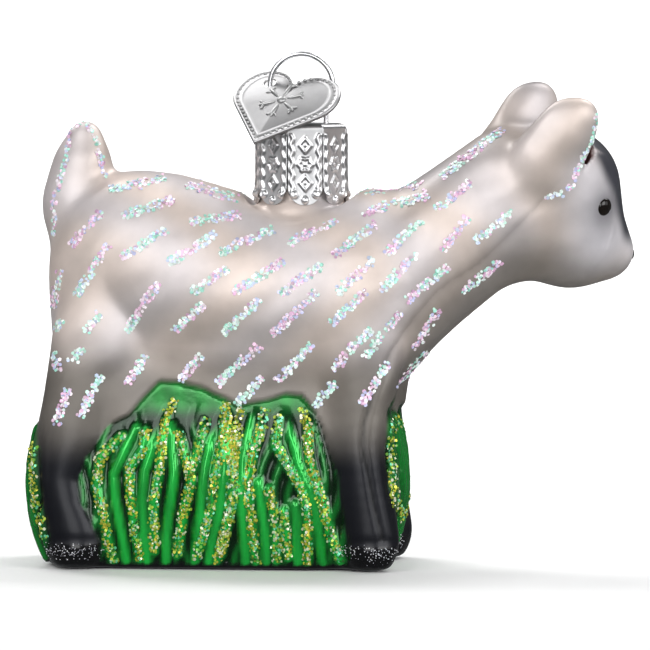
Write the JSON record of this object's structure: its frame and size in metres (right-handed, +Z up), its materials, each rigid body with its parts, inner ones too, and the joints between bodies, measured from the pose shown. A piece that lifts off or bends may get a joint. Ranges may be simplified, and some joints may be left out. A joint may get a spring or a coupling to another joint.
{
  "type": "glass animal ornament",
  "caption": "Hollow blown-glass goat standing in grass, with a stamped metal cap, a sprung wire hanger and a swinging heart-shaped hang tag.",
  "frame": {"origin": "middle of the flat underside of the grass, below the middle of the ornament's length", "axes": "+X the way the goat faces, +Y towards its left side, +Z up"},
  "size_m": [0.0945, 0.0296, 0.0809],
  "materials": {
    "lacquered_glass": "silvered inside, satin lacquer outside",
    "cap_metal": "bright stamped",
    "wire_metal": "bright drawn wire",
    "tag_metal": "bright stamped",
    "black_enamel": "gloss enamel"
  },
  "bodies": {
    "glass": {"glass_body": "lacquered_glass", "eye_right": "black_enamel", "eye_left": "black_enamel", "nose": "black_enamel"},
    "cap": {"cap": "cap_metal"},
    "hanger": {"hanger_wire": "wire_metal"},
    "tag": {"heart_tag": "tag_metal"}
  },
  "joints": [
    {"name": "cap_pull", "type": "slide", "parent": "glass", "child": "cap", "axis": [0, 0, 1], "range_m": [0, 0.03]},
    {"name": "loop_pull", "type": "slide", "parent": "cap", "child": "hanger", "axis": [0, 0, 1], "range_m": [0, 0.002]},
    {"name": "tag_swing", "type": "hinge", "parent": "hanger", "child": "tag", "pos_m": [-0.01, 0, 0.0759], "axis": [-0.222, -0.6448, 0.7314], "range_deg": [-50, 8]}
  ]
}
